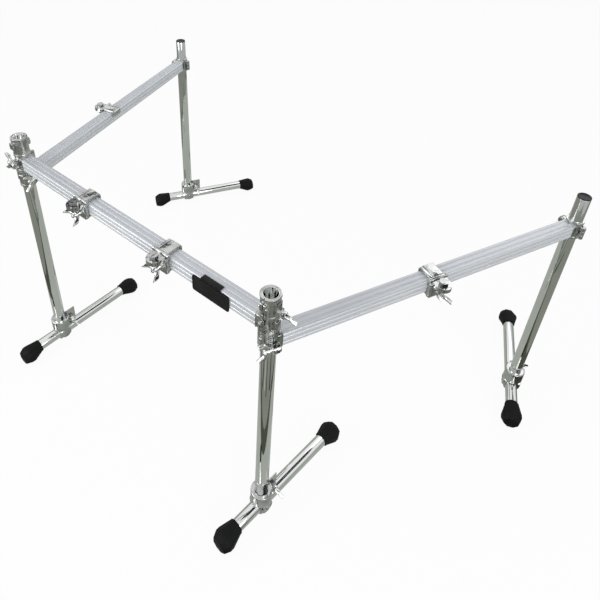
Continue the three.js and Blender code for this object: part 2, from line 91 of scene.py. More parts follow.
studio = bpy.data.worlds.new("white_studio")
studio.use_nodes = True
stage_scene.world = studio
nodes, links = studio.node_tree.nodes, studio.node_tree.links
nodes.clear()
fill = nodes.new("ShaderNodeBackground")
fill.inputs["Color"].default_value = (0.93, 0.96, 1.0, 1.0)
fill.inputs["Strength"].default_value = 0.55
shown = nodes.new("ShaderNodeBackground")
shown.inputs["Color"].default_value = WHITE
shown.inputs["Strength"].default_value = 1.0
either = nodes.new("ShaderNodeMixShader")
links.new(seen_directly(nodes, links), either.inputs[0])
links.new(fill.outputs[0], either.inputs[1])
links.new(shown.outputs[0], either.inputs[2])
links.new(either.outputs[0], nodes.new("ShaderNodeOutputWorld").inputs["Surface"])

bpy.ops.mesh.primitive_plane_add(size=40.0, location=(0.0, 0.0, SWEEP_LOW))
sweep = bpy.context.object
sweep.name = "white_sweep"
paper = bpy.data.materials.new("sweep_paper")
paper.use_nodes = True
nodes, links = paper.node_tree.nodes, paper.node_tree.links
nodes.clear()
matt = nodes.new("ShaderNodeBsdfDiffuse")
matt.inputs["Color"].default_value = (0.86, 0.86, 0.86, 1.0)
glow = nodes.new("ShaderNodeEmission")
glow.inputs["Color"].default_value = WHITE
share = nodes.new("ShaderNodeMath")
share.operation = "MULTIPLY"
share.inputs[1].default_value = SWEEP_GLOW
either = nodes.new("ShaderNodeMixShader")
links.new(seen_directly(nodes, links), share.inputs[0])
links.new(share.outputs[0], either.inputs[0])
links.new(matt.outputs[0], either.inputs[1])
links.new(glow.outputs[0], either.inputs[2])
links.new(either.outputs[0], nodes.new("ShaderNodeOutputMaterial").inputs["Surface"])
sweep.data.materials.append(paper)

for name, place, aim, size, power in (
    ("key_soft_box", (-1.5, -2.8, 1.5), (0.0, 0.0, 0.7), 2.0, 42.0),
    ("side_soft_box", (3.0, -1.6, 1.5), (0.0, 0.0, 0.7), 1.8, 40.0),
    ("back_soft_box", (0.2, 3.0, 2.8), (0.0, 0.0, 0.6), 2.2, 14.0),
):
    lamp = bpy.data.lights.new(name, "AREA")
    lamp.energy = power
    lamp.size = size
    soft_box = bpy.data.objects.new(name, lamp)
    soft_box.location = place
    soft_box.rotation_euler = (Vector(aim) - Vector(place)).to_track_quat("-Z", "Y").to_euler()
    stage_scene.collection.objects.link(soft_box)

cards = {}
# Tones the cards glow with: painted reflections of the lit room, black for painted dark lines, and a painted
# shadow.
for tone, colour in (
    ("black", (0.022, 0.022, 0.024)),
    ("shadow", (0.080, 0.086, 0.066)),
    ("floor", (0.26, 0.275, 0.235)),
    ("paper", (0.43, 0.455, 0.415)),
    ("wall", (0.50, 0.525, 0.53)),
):
    card = bpy.data.materials.new("painted_reflection_" + tone)
    card.use_nodes = True
    nodes, links = card.node_tree.nodes, card.node_tree.links
    nodes.clear()
    glow = nodes.new("ShaderNodeEmission")
    glow.inputs["Color"].default_value = (*colour, 1.0)
    links.new(glow.outputs[0], nodes.new("ShaderNodeOutputMaterial").inputs["Surface"])
    cards[tone] = card


def stood_by(board, tone):
    """A card that only the metal sees, glowing as a painted reflection."""
    board.data.materials.append(cards[tone])
    board.visible_camera = False
    board.visible_diffuse = False
    board.visible_shadow = False
    board.visible_transmission = False


# Sheets that glow under the rack: painted reflections of the floor and paper, and a painted shadow along the
# paper's edge.
for name, tone, height, outline in (
    ("studio_floor", "floor", -0.00055, ((-6, -6), (6, -6), (6, 6), (-6, 6))),
    ("paper_shadow", "shadow", -0.00050, (
        (-1.35, -0.52), (-0.55, -0.88), (-0.22, -0.97), (0.24, -0.96),
        (0.98, -0.42), (1.02, 2.4), (-1.5, 2.4),
    )),
    ("paper_sheet", "paper", -0.00045, (
        (-1.22, -0.42), (-0.50, -0.735), (-0.20, -0.84), (0.20, -0.84),
        (0.852, -0.366), (0.862, 2.2), (-1.3, 2.2),
    )),
):
    flat = bpy.data.meshes.new(name)
    flat.from_pydata([(x, y, height) for x, y in outline], [], [list(range(len(outline)))])
    sheet = bpy.data.objects.new(name, flat)
    stage_scene.collection.objects.link(sheet)
    stood_by(sheet, tone)
# Boards that only the metal sees: painted reflections of the lit walls, black painted dark reflections
# drawing lines on the chrome, and a lighter painted reflection on the floor.
for name, tone, place, turn, tilt, width, height in (
    ("wall_front", "wall", (0.0, -ROOM, ROOM_TALL / 2), 0.0, 90.0, 2 * ROOM, ROOM_TALL),
    ("wall_right", "wall", (ROOM, 0.0, ROOM_TALL / 2), 90.0, 90.0, 2 * ROOM, ROOM_TALL),
    ("wall_back", "wall", (0.0, ROOM, ROOM_TALL / 2), 0.0, 90.0, 2 * ROOM, ROOM_TALL),
    ("wall_left", "floor", (-ROOM, 0.0, ROOM_TALL / 2), 90.0, 90.0, 2 * ROOM, ROOM_TALL),
    ("ceiling", "black", (1.35, 0.7, 3.0), 0.0, 0.0, 2.3, 2.6),
    ("back_gap", "black", (-2.9, 1.3, 3.1), 60.0, 90.0, 1.4, 1.0),
    ("floor_line_1", "black", (0.30, -1.46, STRIP_HIGH), 8.0, 0.0, 0.10, 0.9),
    ("floor_line_2", "black", (0.95, -1.26, STRIP_HIGH), 38.0, 0.0, 0.07, 0.9),
    ("floor_line_3", "black", (1.30, -0.72, STRIP_HIGH), 78.0, 0.0, 0.12, 0.8),
    ("floor_light", "wall", (0.66, -1.45, STRIP_HIGH), 22.0, 0.0, 0.10, 0.9),
):
    bpy.ops.mesh.primitive_plane_add(size=1.0)
    board = bpy.context.object
    board.name = name
    board.data.transform(
        Matrix.Translation(place)
        @ Matrix.Rotation(math.radians(turn), 4, "Z")
        @ Matrix.Rotation(math.radians(tilt), 4, "X")
        @ Matrix.Diagonal((width, height, 1.0, 1.0))
    )
    stood_by(board, tone)


# Posts: four upright tubes of chromed steel, 38.1 mm across with a 2 mm wall, cut square and deburred at
# both ends. The corner posts are open at the top. Each slides in its clamps and stands in a foot casting.
def leave_marks():
    """Finger marks and polishing haze: slow patches and fine streaks that change how sharp a finish is."""
    group = bpy.data.node_groups.new("handling_marks", "ShaderNodeTree")
    for name in ("Patch Scale", "Streak Scale", "Clean", "Worn"):
        group.interface.new_socket(name, in_out="INPUT", socket_type="NodeSocketFloat")
    group.interface.new_socket("Roughness", in_out="OUTPUT", socket_type="NodeSocketFloat")
    group.interface.new_socket("Patches", in_out="OUTPUT", socket_type="NodeSocketFloat")
    nodes, links = group.nodes, group.links
    inside = nodes.new("NodeGroupInput")
    outside = nodes.new("NodeGroupOutput")
    place = nodes.new("ShaderNodeTexCoord")
    patches = nodes.new("ShaderNodeTexNoise")
    patches.inputs["Detail"].default_value = 4.0
    streaks = nodes.new("ShaderNodeTexNoise")
    streaks.inputs["Detail"].default_value = 2.0
    links.new(place.outputs["Object"], patches.inputs["Vector"])
    links.new(place.outputs["Object"], streaks.inputs["Vector"])
    links.new(inside.outputs["Patch Scale"], patches.inputs["Scale"])
    links.new(inside.outputs["Streak Scale"], streaks.inputs["Scale"])
    both = nodes.new("ShaderNodeMath")
    both.operation = "MULTIPLY"
    links.new(patches.outputs["Fac"], both.inputs[0])
    links.new(streaks.outputs["Fac"], both.inputs[1])
    spread = nodes.new("ShaderNodeMapRange")
    spread.inputs["From Min"].default_value = 0.16
    spread.inputs["From Max"].default_value = 0.38
    links.new(both.outputs[0], spread.inputs["Value"])
    links.new(inside.outputs["Clean"], spread.inputs["To Min"])
    links.new(inside.outputs["Worn"], spread.inputs["To Max"])
    links.new(spread.outputs["Result"], outside.inputs["Roughness"])
    links.new(patches.outputs["Fac"], outside.inputs["Patches"])
    return group


def worn_material(
    name, metallic, dark, light, clean, worn, patch_scale=6.0, streak_scale=90.0, specular=0.5
):
    """A finish whose tint and sharpness follow the handling marks, between two close tints."""
    made = bpy.data.materials.new(name)
    made.use_nodes = True
    nodes, links = made.node_tree.nodes, made.node_tree.links
    shader = nodes["Principled BSDF"]
    shader.inputs["Metallic"].default_value = metallic
    shader.inputs["Specular IOR Level"].default_value = specular
    handled = nodes.new("ShaderNodeGroup")
    handled.node_tree = marks
    handled.inputs["Patch Scale"].default_value = patch_scale
    handled.inputs["Streak Scale"].default_value = streak_scale
    handled.inputs["Clean"].default_value = clean
    handled.inputs["Worn"].default_value = worn
    links.new(handled.outputs["Roughness"], shader.inputs["Roughness"])
    ramp = nodes.new("ShaderNodeValToRGB")
    for end, position, tint in ((0, 0.3, dark), (1, 0.7, light)):
        ramp.color_ramp.elements[end].position = position
        ramp.color_ramp.elements[end].color = (*tint, 1.0)
    links.new(handled.outputs["Patches"], ramp.inputs["Fac"])
    links.new(ramp.outputs["Color"], shader.inputs["Base Color"])
    return made


marks = leave_marks()
chrome = worn_material("chrome_plate", 1.0, (0.70, 0.71, 0.70), (0.80, 0.81, 0.80), 0.035, 0.11)
SMOOTH_ANGLE = math.radians(32.0)


def softened(piece, rim, angle=40.0, steps=2):
    """Rounds the edges of a piece and shades it smooth between them."""
    if rim:
        edge = piece.modifiers.new("rounded edges", "BEVEL")
        edge.width = rim
        edge.segments = steps
        edge.limit_method = "ANGLE"
        edge.angle_limit = math.radians(angle)
        bpy.ops.object.modifier_apply(modifier=edge.name)
    bpy.ops.object.shade_smooth_by_angle(angle=SMOOTH_ANGLE)
    return piece


def only(*pieces):
    """Selects these pieces alone, the first one active."""
    bpy.ops.object.select_all(action="DESELECT")
    for piece in pieces:
        piece.select_set(True)
    bpy.context.view_layer.objects.active = pieces[0]


def round_stock(name, radius, low, high, sides, ends="NGON"):
    """A plain cylinder upright on the local origin, with or without its end faces."""
    bpy.ops.object.select_all(action="DESELECT")
    bpy.ops.mesh.primitive_cylinder_add(
        vertices=sides, radius=radius, depth=high - low, end_fill_type=ends, location=(0, 0, (low + high) / 2)
    )
    bpy.ops.object.transform_apply(location=True)
    piece = bpy.context.object
    piece.name = name
    return piece


def walled(piece, thickness):
    """Thickens an open skin inwards."""
    wall = piece.modifiers.new("wall", "SOLIDIFY")
    wall.thickness = thickness
    wall.offset = -1.0
    bpy.ops.object.modifier_apply(modifier=wall.name)


def open_tube(name, radius, wall, low, high, sides=72, rim=0.0004):
    piece = round_stock(name, radius, low, high, sides, ends="NOTHING")
    walled(piece, wall)
    return softened(piece, rim)


def fitted(pattern, name, spot, material, slot, body, *nodes):
    """A copy of a finished pattern piece, put at its place on the rack for the CAD nodes it stands for."""
    piece = bpy.data.objects.new(name, pattern.data.copy())
    piece.data.name = name
    piece.data.transform(spot)
    piece.data.materials.clear()
    piece.data.materials.append(material)
    stage_scene.collection.objects.link(piece)
    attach(piece, body)
    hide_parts(*nodes)
    return piece


def put_away(*patterns):
    for pattern in patterns:
        bpy.data.objects.remove(pattern)


def foot_of(node):
    """Where a CAD node's own axis meets the floor."""
    low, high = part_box(node)
    return Vector(((low.x + high.x) / 2, (low.y + high.y) / 2, 0.0))


TUBE = 0.01905
TUBE_WALL = 0.002
posts = {
    place: foot_of(place + "_post") for place in ("corner_right", "corner_left", "end_right", "end_left")
}
for place, spot in posts.items():
    low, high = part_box(place + "_post")
    post = open_tube("post_pattern", TUBE, TUBE_WALL, low.z, high.z)
    fitted(post, place + "_chromed_post", Matrix.Translation(spot), chrome, "chrome",
           place + "_post_body", place + "_post")
    put_away(post)


# Post caps: moulded black plugs in the two end posts. A round head with a soft rim and a shallow dished
# top covers the tube's edge, and a round stem below it grips the bore.
plastic = worn_material(
    "moulded_plastic", 0.0, (0.0030, 0.0030, 0.0034), (0.0090, 0.0090, 0.0096), 0.32, 0.52,
    patch_scale=30.0, streak_scale=400.0, specular=0.22,
)


def grained(material, scale, strength, distance):
    """A fine moulded or cast grain as bump."""
    nodes, links = material.node_tree.nodes, material.node_tree.links
    place = nodes.new("ShaderNodeTexCoord")
    grain = nodes.new("ShaderNodeTexNoise")
    grain.inputs["Scale"].default_value = scale
    grain.inputs["Detail"].default_value = 3.0
    bump = nodes.new("ShaderNodeBump")
    bump.inputs["Strength"].default_value = strength
    bump.inputs["Distance"].default_value = distance
    links.new(place.outputs["Object"], grain.inputs["Vector"])
    links.new(grain.outputs["Fac"], bump.inputs["Height"])
    links.new(bump.outputs["Normal"], nodes["Principled BSDF"].inputs["Normal"])


grained(plastic, 900.0, 0.25, 0.0003)


def rod(name, radius, low, high, sides=48, rim=0.0006, steps=2):
    """A round bar upright on the local origin, its end edges rounded."""
    return softened(round_stock(name, radius, low, high, sides), rim, steps=steps)


def faces_where(test):
    """In edit mode, selects the faces whose middle and normal pass a test."""
    bpy.ops.mesh.select_mode(type="FACE")
    bpy.ops.mesh.select_all(action="DESELECT")
    mesh = bmesh.from_edit_mesh(bpy.context.object.data)
    for face in mesh.faces:
        face.select_set(bool(test(face.calc_center_median(), face.normal)))
    bmesh.update_edit_mesh(bpy.context.object.data)


def joined(name, *pieces):
    only(*pieces)
    if len(pieces) > 1:
        bpy.ops.object.join()
    bpy.context.object.name = name
    return bpy.context.object


CAP_REST = 0.0003
CAP_RIM = 0.0025
STEM_LOW = -0.018
STEM_GAP = 0.0004
STEM_TUCK = 0.0004
head = rod("cap_head", TUBE, CAP_REST, CAP_RIM, sides=64, rim=0.0009, steps=3)
bpy.ops.object.mode_set(mode="EDIT")
faces_where(lambda middle, normal: normal.z > 0.9 and middle.length < 0.004)
bpy.ops.mesh.inset(thickness=0.003, depth=0.0)
bpy.ops.mesh.inset(thickness=0.0012, depth=-0.0006)
bpy.ops.object.mode_set(mode="OBJECT")
stem = rod("cap_stem", TUBE - TUBE_WALL - STEM_GAP, STEM_LOW, CAP_REST + STEM_TUCK, rim=0.0008)
cap = joined("cap_pattern", head, stem)
for place in ("end_right", "end_left"):
    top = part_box(place + "_post")[1].z
    fitted(cap, place + "_plug_cap", Matrix.Translation(posts[place] + Vector((0, 0, top))), plastic,
           "black_plastic", place + "_post_body", place + "_cap")
put_away(cap)


# Bars: three lengths of ribbed aluminium extrusion, a 40 mm rounded square with two shallow grooves along
# each face, satin anodised. Their ends plug onto the clamps at the posts.
aluminium = worn_material(
    "satin_aluminium", 0.30, (0.60, 0.615, 0.64), (0.68, 0.695, 0.715), 0.30, 0.42,
    patch_scale=5.0, streak_scale=160.0,
)

BAR_WIDE = 0.040
BAR_WALL = 0.003
BAR_CORNER = 0.0045
GROOVE_MIDDLE = 0.0075
GROOVE_HALF = 0.0025
GROOVE_SLOPE = 0.0009
GROOVE_DEEP = 0.0012
SOCKET = 0.0263


def square_stock(name, size, middle):
    """A plain block, left in edit mode for shaping."""
    bpy.ops.object.select_all(action="DESELECT")
    bpy.ops.mesh.primitive_cube_add(size=1.0)
    piece = bpy.context.object
    piece.name = name
    bpy.ops.object.mode_set(mode="EDIT")
    bpy.ops.transform.resize(value=size, center_override=(0, 0, 0))
    bpy.ops.transform.translate(value=middle)
    return piece


def edges_where(test):
    """In edit mode, selects the edges whose run and first end pass a test."""
    bpy.ops.mesh.select_mode(type="EDGE")
    bpy.ops.mesh.select_all(action="DESELECT")
    mesh = bmesh.from_edit_mesh(bpy.context.object.data)
    for edge in mesh.edges:
        first, last = (vert.co for vert in edge.verts)
        edge.select_set(bool(test(last - first, first)))
    bmesh.update_edit_mesh(bpy.context.object.data)


def grooved_bar(name, start, end):
    """The extrusion along +X: rounded along its long edges, then each groove sunk between two cuts."""
    piece = square_stock(name, (end - start, BAR_WIDE, BAR_WIDE), ((start + end) / 2, 0, 0))
    faces_where(lambda middle, normal: abs(normal.x) > 0.9)
    bpy.ops.mesh.delete(type="ONLY_FACE")
    edges_where(lambda run, first: abs(run.x) > 0.1)
    bpy.ops.mesh.bevel(offset=BAR_CORNER, segments=5, affect="EDGES", clamp_overlap=False)
    for middle in (GROOVE_MIDDLE, -GROOVE_MIDDLE):
        for side in (GROOVE_HALF, -GROOVE_HALF):
            for across in ((0, 1, 0), (0, 0, 1)):
                bpy.ops.mesh.select_all(action="SELECT")
                bpy.ops.mesh.bisect(plane_co=Vector(across) * (middle + side), plane_no=across)

    def on_groove(centre, normal):
        across = centre.z if abs(normal.y) > 0.95 else centre.y
        flat = max(abs(normal.y), abs(normal.z)) > 0.95
        return flat and abs(abs(across) - GROOVE_MIDDLE) < GROOVE_HALF * 0.9

    faces_where(on_groove)
    bpy.ops.mesh.inset(thickness=GROOVE_SLOPE, depth=-GROOVE_DEEP, use_boundary=False)
    bpy.ops.object.mode_set(mode="OBJECT")
    walled(piece, BAR_WALL)
    return softened(piece, 0.00025, angle=30.0, steps=1)


bars = {
    "front": ("corner_left", "corner_right", "frame"),
    "right": ("corner_right", "end_right", "right_wing"),
    "left": ("corner_left", "end_left", "left_wing"),
}


def toward(start, end):
    """The heading from one post to another and the distance between them."""
    run = posts[end] - posts[start]
    return math.atan2(run.y, run.x), run.length


def frame_at(spot, height, angle):
    return Matrix.Translation((spot.x, spot.y, height)) @ Matrix.Rotation(angle, 4, "Z")


def bar_height(name):
    low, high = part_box(name + "_bar")
    return (low.z + high.z) / 2


for name, (start, end, body) in bars.items():
    angle, span = toward(start, end)
    bar = grooved_bar("bar_pattern", SOCKET, span - SOCKET)
    fitted(bar, name + "_ribbed_bar", frame_at(posts[start], bar_height(name), angle), aluminium,
           "bar_aluminium", body, name + "_bar")
    put_away(bar)


# Wing bolts: chromed castings, one on every clamp and foot. Two wings with pressed hollows flare out from
# a round hub in a V, a knurled stub points outwards between them, and the shank below is threaded.
BOLT = 0.004
HUB = 0.0095
HUB_LONG = 0.008
STUB = 0.005
STUB_LONG = 0.009
SLEEVE = 0.0065
WASHER = 0.0011
WING_ROOT = (0.0160, 0.0075, 0.0104)
# Each stage of a wing: how far out, how far back, and how much longer and thicker than the last.
WING_STAGES = (
    (0.0045, 0.0046, 0.95, 0.95),
    (0.0060, 0.0064, 1.1, 1.0),
    (0.0037, 0.0038, 1.1, 1.1),
    (0.0013, 0.0012, 0.8, 0.9),
)


def along_x(piece, x=0.0, y=0.0, z=0.0, back=False):
    """Lays an upright pattern down along +X (or -X) and moves it."""
    turn = math.radians(-90.0 if back else 90.0)
    piece.data.transform(Matrix.Translation((x, y, z)) @ Matrix.Rotation(turn, 4, "Y"))
    return piece


def along_y(piece, x=0.0, y=0.0, z=0.0):
    piece.data.transform(Matrix.Translation((x, y, z)) @ Matrix.Rotation(math.radians(-90.0), 4, "X"))
    return piece


def ringed(name, radius, low, high, around, rows, sink, gap):
    """A round bar whose side is cut into rows and cells, each cell raised by sinking its border."""
    piece = round_stock(name, radius, low, high, around)
    bpy.ops.object.mode_set(mode="EDIT")
    for row in range(1, rows):
        bpy.ops.mesh.select_all(action="SELECT")
        bpy.ops.mesh.bisect(plane_co=(0, 0, low + (high - low) * row / rows), plane_no=(0, 0, 1))
    faces_where(lambda middle, normal: abs(normal.z) < 0.1)
    bpy.ops.mesh.inset(thickness=gap, depth=sink, use_individual=True)
    bpy.ops.object.mode_set(mode="OBJECT")
    return piece


def bolt_wing(hub_end):
    """One wing on +Y: a root on the hub, drawn out and back, with a rounded tip and hollow cheeks."""
    piece = square_stock("wing", WING_ROOT, (hub_end + 0.0012, 0.0058, 0))
    for out, back, longer, thicker in WING_STAGES:
        faces_where(lambda middle, normal: normal.y > 0.99)
        bpy.ops.mesh.extrude_region_move(TRANSFORM_OT_translate={"value": (-back, out, 0)})
        mesh = bmesh.from_edit_mesh(piece.data)
        middle = sum((v.co for v in mesh.verts if v.select), Vector()) / 4
        bpy.ops.transform.resize(value=(longer, 1.0, thicker), center_override=middle)
    faces_where(lambda middle, normal: abs(normal.z) > 0.8 and middle.y > 0.013)
    bpy.ops.mesh.inset(thickness=0.0018, depth=-0.0008, use_individual=False)
    bpy.ops.object.mode_set(mode="OBJECT")
    round_off = piece.modifiers.new("cast form", "SUBSURF")
    round_off.levels = 2
    round_off.render_levels = 2
    bpy.ops.object.modifier_apply(modifier=round_off.name)
    bpy.ops.object.shade_smooth()
    return piece


def wing_bolt(name, tip, seat, sleeve):
    """Along X with the wings on -X: shank from tip to seat, sleeve, hub, wings and stub."""
    hub_start = seat - sleeve
    parts = []
    for side in (0.0, 180.0):
        wing = bolt_wing(hub_start - HUB_LONG)
        wing.data.transform(Matrix.Rotation(math.radians(side), 4, "X"))
        parts.append(wing)
    stub_end = HUB_LONG + STUB_LONG
    for start, turned in (
        (seat, rod("sleeve", SLEEVE, 0.0009, sleeve + 0.0005, rim=0.0004)),
        (seat, rod("washer", HUB + 0.0006, 0.0, WASHER, rim=0.0003)),
        (hub_start, rod("hub", HUB, 0.0, HUB_LONG, rim=0.0016, steps=3)),
        (hub_start, rod("hub_crown", HUB * 0.74, HUB_LONG - 0.0005, HUB_LONG + 0.0022, rim=0.0009)),
        (hub_start, ringed("stub", STUB, HUB_LONG, stub_end - 0.0012, 18, 4, 0.0006, 0.0003)),
        (hub_start, rod("stub_end", STUB * 0.84, stub_end - 0.0016, stub_end, rim=0.0006)),
    ):
        parts.append(along_x(turned, start, back=True))
    length = tip - seat
    shank = ringed("shank", BOLT - 0.0004, -0.001, length, 24, max(4, int(length / 0.0011)), 0.00035, 0.0003)
    parts.append(along_x(shank, seat))
    return joined(name, *parts)


# Bar-end clamps: six chromed castings, a split barrel round the post. The fixed half plugs into the bar,
# the other half swings on a pinned hinge, and a wing bolt draws their ears together. All have rolled rims,
# and the front bar's two have a tall collar above with screw lugs and a raised shield.
casting = worn_material(
    "chromed_casting", 1.0, (0.38, 0.39, 0.385), (0.66, 0.67, 0.66), 0.07, 0.20,
    patch_scale=28.0, streak_scale=220.0,
)
grained(casting, 85.0, 0.45, 0.0022)

BARREL = 0.0234
BARREL_BORE = 0.0194
SPLIT_HALF = 0.00075
BARREL_HALF = 0.028
COLLAR_TOP = 0.085
EAR_THICK = 0.006
EAR_ROUND = 0.013
BOLT_OUT = 0.032
HINGE_OUT = 0.031
KNUCKLE = 0.007
CLAMP_SLEEVE = 0.006
SEAT_GAP = 0.0003
BOLT_HOLE = 0.0044
RIM_OUT = 0.0013
RIM_SUNK = 0.0012
RIM_TALL = 0.0062
LUG_DEEP = 0.008
TONGUE_HALF = 0.0167
LIP_HALF = 0.0206
WEB_REACH = 0.0068
HINGE_HALF = 0.020
FIXED_KNUCKLE = 0.0073
DOOR_KNUCKLE = 0.007
PIN = 0.003
PIN_HALF = 0.0204
PIN_BORE = 0.0034


def half_shell(name, outer, inner, low, high, sign, rim=0.0005):
    """Half of a ring round the post, cut off at the split on the side of the given sign of x."""
    piece = round_stock(name, outer, low, high, 64, ends="NOTHING")
    bpy.ops.object.mode_set(mode="EDIT")
    bpy.ops.mesh.select_all(action="SELECT")
    bpy.ops.mesh.bisect(plane_co=(sign * SPLIT_HALF, 0, 0), plane_no=(-sign, 0, 0), clear_outer=True)
    bpy.ops.object.mode_set(mode="OBJECT")
    walled(piece, outer - inner)
    return softened(piece, rim)


def block(name, low, high, rim=0.001, steps=2):
    """A block between two corners, its edges rounded."""
    low, high = Vector(low), Vector(high)
    piece = square_stock(name, high - low, (low + high) / 2)
    bpy.ops.object.mode_set(mode="OBJECT")
    return softened(piece, rim, steps=steps)


def drilled(piece, *cutters, solid=False):
    """Takes cutters out of a piece, or joins them to it."""
    for cutter in cutters:
        only(piece)
        cut = piece.modifiers.new("cut", "BOOLEAN")
        cut.operation = "UNION" if solid else "DIFFERENCE"
        cut.solver = "EXACT"
        cut.object = cutter
        bpy.ops.object.modifier_apply(modifier=cut.name)
        bpy.data.objects.remove(cutter)
    return piece


def moved_out(piece, y):
    piece.data.transform(Matrix.Translation((0, y, 0)))
    return piece


def bolt_ear(name, sign):
    """A flat ear on -Y with a round end: an open slot for the bolt in the fixed half, a hole in the door."""
    near, far = sorted((sign * SPLIT_HALF, sign * (SPLIT_HALF + EAR_THICK)))
    web = block("web", (near, -BOLT_OUT, -EAR_ROUND), (far, -TUBE - 0.001, EAR_ROUND), rim=0.0)
    end = moved_out(along_x(rod("end", EAR_ROUND, near, far, sides=40, rim=0.0)), -BOLT_OUT)
    ear = drilled(web, end, solid=True)
    ear.name = name
    only(ear)
    softened(ear, 0.0009, angle=50.0)
    hole = along_x(rod("hole", BOLT_HOLE, near - 0.002, far + 0.002, sides=24, rim=0.0), 0, -BOLT_OUT)
    if sign < 0:
        return drilled(ear, hole)
    mouth_low = (near - 0.002, -BOLT_OUT - 0.016, -BOLT_HOLE)
    mouth = block("mouth", mouth_low, (far + 0.002, -BOLT_OUT, BOLT_HOLE), rim=0.0)
    return drilled(ear, drilled(hole, mouth, solid=True))


def cap_screw(name, sign, y, z):
    """A socket screw head standing on a lug, its hexagon sunk in the top."""
    face = SPLIT_HALF + LUG_DEEP
    head = rod(name, 0.0032, face - 0.0005, face + 0.0025, sides=24, rim=0.0005)
    socket = rod("socket", 0.0016, face + 0.001, face + 0.004, sides=6, rim=0.0)
    return along_x(drilled(head, socket), 0, y, z, back=sign < 0)


def half_clamp(sign, low, high):
    """What both halves have: the shell, its rolled rims, the ear, and on the tall ones the screw lugs."""
    sunk = BARREL - RIM_SUNK
    parts = [
        half_shell("shell", BARREL, BARREL_BORE, low, high, sign),
        half_shell("low_rim", BARREL + RIM_OUT, sunk, low, low + RIM_TALL, sign, rim=0.0009),
        half_shell("top_rim", BARREL + RIM_OUT, sunk, high - RIM_TALL, high, sign, rim=0.0009),
        bolt_ear("ear", sign),
    ]
    if high > BARREL_HALF:
        parts.append(half_shell("waist", BARREL + 0.0016, sunk, 0.0245, 0.0320, sign, rim=0.0011))
        for side in (1, -1):
            near, far = sorted((sign * SPLIT_HALF, sign * (SPLIT_HALF + LUG_DEEP)))
            inner, outer = sorted((side * (TUBE + 0.001), side * (BARREL + 0.0056)))
            parts.append(block("lug", (near, inner, 0.050), (far, outer, 0.072), rim=0.0016, steps=3))
            parts.append(cap_screw("lug_screw", sign, side * (BARREL + 0.0026), 0.061))
    return parts


def knuckle(low, high):
    return moved_out(rod("knuckle", KNUCKLE, low, high, sides=32, rim=0.0007), HINGE_OUT)


def fresh_copy(piece):
    copy = bpy.data.objects.new(piece.name, piece.data.copy())
    stage_scene.collection.objects.link(copy)
    return copy


def clamp_body(name, low, high):
    """The fixed half, with the tongue that plugs into the bar, the hinge pin and the nut of the bolt."""
    bore = rod("bore", BARREL_BORE, low - 0.01, high + 0.01, sides=64, rim=0.0)
    parts = half_clamp(1, low, high)
    for solid in [
        block("shoulder", (0.012, -0.020, -0.020), (0.026, 0.020, 0.020), rim=0.0022, steps=3),
        block("rib", (0.013, 0.0088, 0.0185), (0.0245, 0.0132, 0.0222)),
        block("rib", (0.013, -0.0132, 0.0185), (0.0245, -0.0088, 0.0222)),
    ]:
        parts.append(drilled(solid, fresh_copy(bore)))
    put_away(bore)
    for part, half, start, end, rim in (
        ("tongue", TONGUE_HALF, 0.025, 0.060, 0.0015),
        ("lip", LIP_HALF, 0.0222, 0.0255, 0.0010),
    ):
        parts.append(block(part, (start, -half, -half), (end, half, half), rim=rim))
    for start, end in ((-HINGE_HALF, -FIXED_KNUCKLE), (FIXED_KNUCKLE, HINGE_HALF)):
        parts.append(knuckle(start, end))
        web_high = (WEB_REACH, HINGE_OUT, end)
        parts.append(block("hinge_web", (SPLIT_HALF, TUBE + 0.002, start), web_high, rim=0.0005))
    parts.append(moved_out(rod("pin", PIN, -PIN_HALF, PIN_HALF, sides=24, rim=0.0004), HINGE_OUT))
    for z in (-0.0214, 0.0198):
        parts.append(moved_out(rod("pin_head", 0.0045, z, z + 0.0016, sides=24, rim=0.0007), HINGE_OUT))
    outer = SPLIT_HALF + EAR_THICK
    boss = drilled(
        rod("boss", 0.0115, outer - 0.001, outer + 0.005, sides=48, rim=0.0012, steps=3),
        rod("recess", 0.0078, outer + 0.0012, outer + 0.01, sides=40, rim=0.0),
        rod("bore", BOLT_HOLE, 0.0, 0.02, sides=24, rim=0.0),
    )
    parts.append(along_x(boss, 0, -BOLT_OUT))
    nut = rod("nut", 0.0068, outer + 0.0008, outer + 0.0044, sides=6, rim=0.0006)
    nut = drilled(nut, rod("thread", 0.0034, 0.0, 0.03, sides=20, rim=0.0))
    parts.append(along_x(nut, 0, -BOLT_OUT))
    return joined(name, *parts)


def clamp_door(name, low, high):
    """The swinging half, with one knuckle between the two of the fixed half and a raised pad in front."""
    parts = half_clamp(-1, low, high)
    web_low = (-WEB_REACH, TUBE + 0.002, -DOOR_KNUCKLE)
    web = block("hinge_web", web_low, (-SPLIT_HALF, HINGE_OUT, DOOR_KNUCKLE), rim=0.0005)
    for part in (knuckle(-DOOR_KNUCKLE, DOOR_KNUCKLE), web):
        pin = moved_out(rod("pin", PIN_BORE, -0.03, 0.03, sides=24, rim=0.0), HINGE_OUT)
        parts.append(drilled(part, pin))
    pad_high = (-BARREL + 0.0035, 0.0085, 0.0150)
    parts.append(block("front_pad", (-BARREL - 0.0022, -0.0085, -0.0150), pad_high, rim=0.0018, steps=3))
    if high > BARREL_HALF:
        shield_high = (-BARREL + 0.0035, 0.0105, 0.0735)
        shield = block("shield", (-BARREL - 0.0014, -0.0105, 0.0400), shield_high, rim=0.0)
        only(shield)
        bpy.ops.object.mode_set(mode="EDIT")
        edges_where(lambda run, first: abs(run.x) > 0.001 and first.z < 0.05)
        bpy.ops.mesh.bevel(offset=0.0095, segments=6, affect="EDGES")
        bpy.ops.object.mode_set(mode="OBJECT")
        parts.append(softened(shield, 0.0010, angle=50.0))
    return joined(name, *parts)


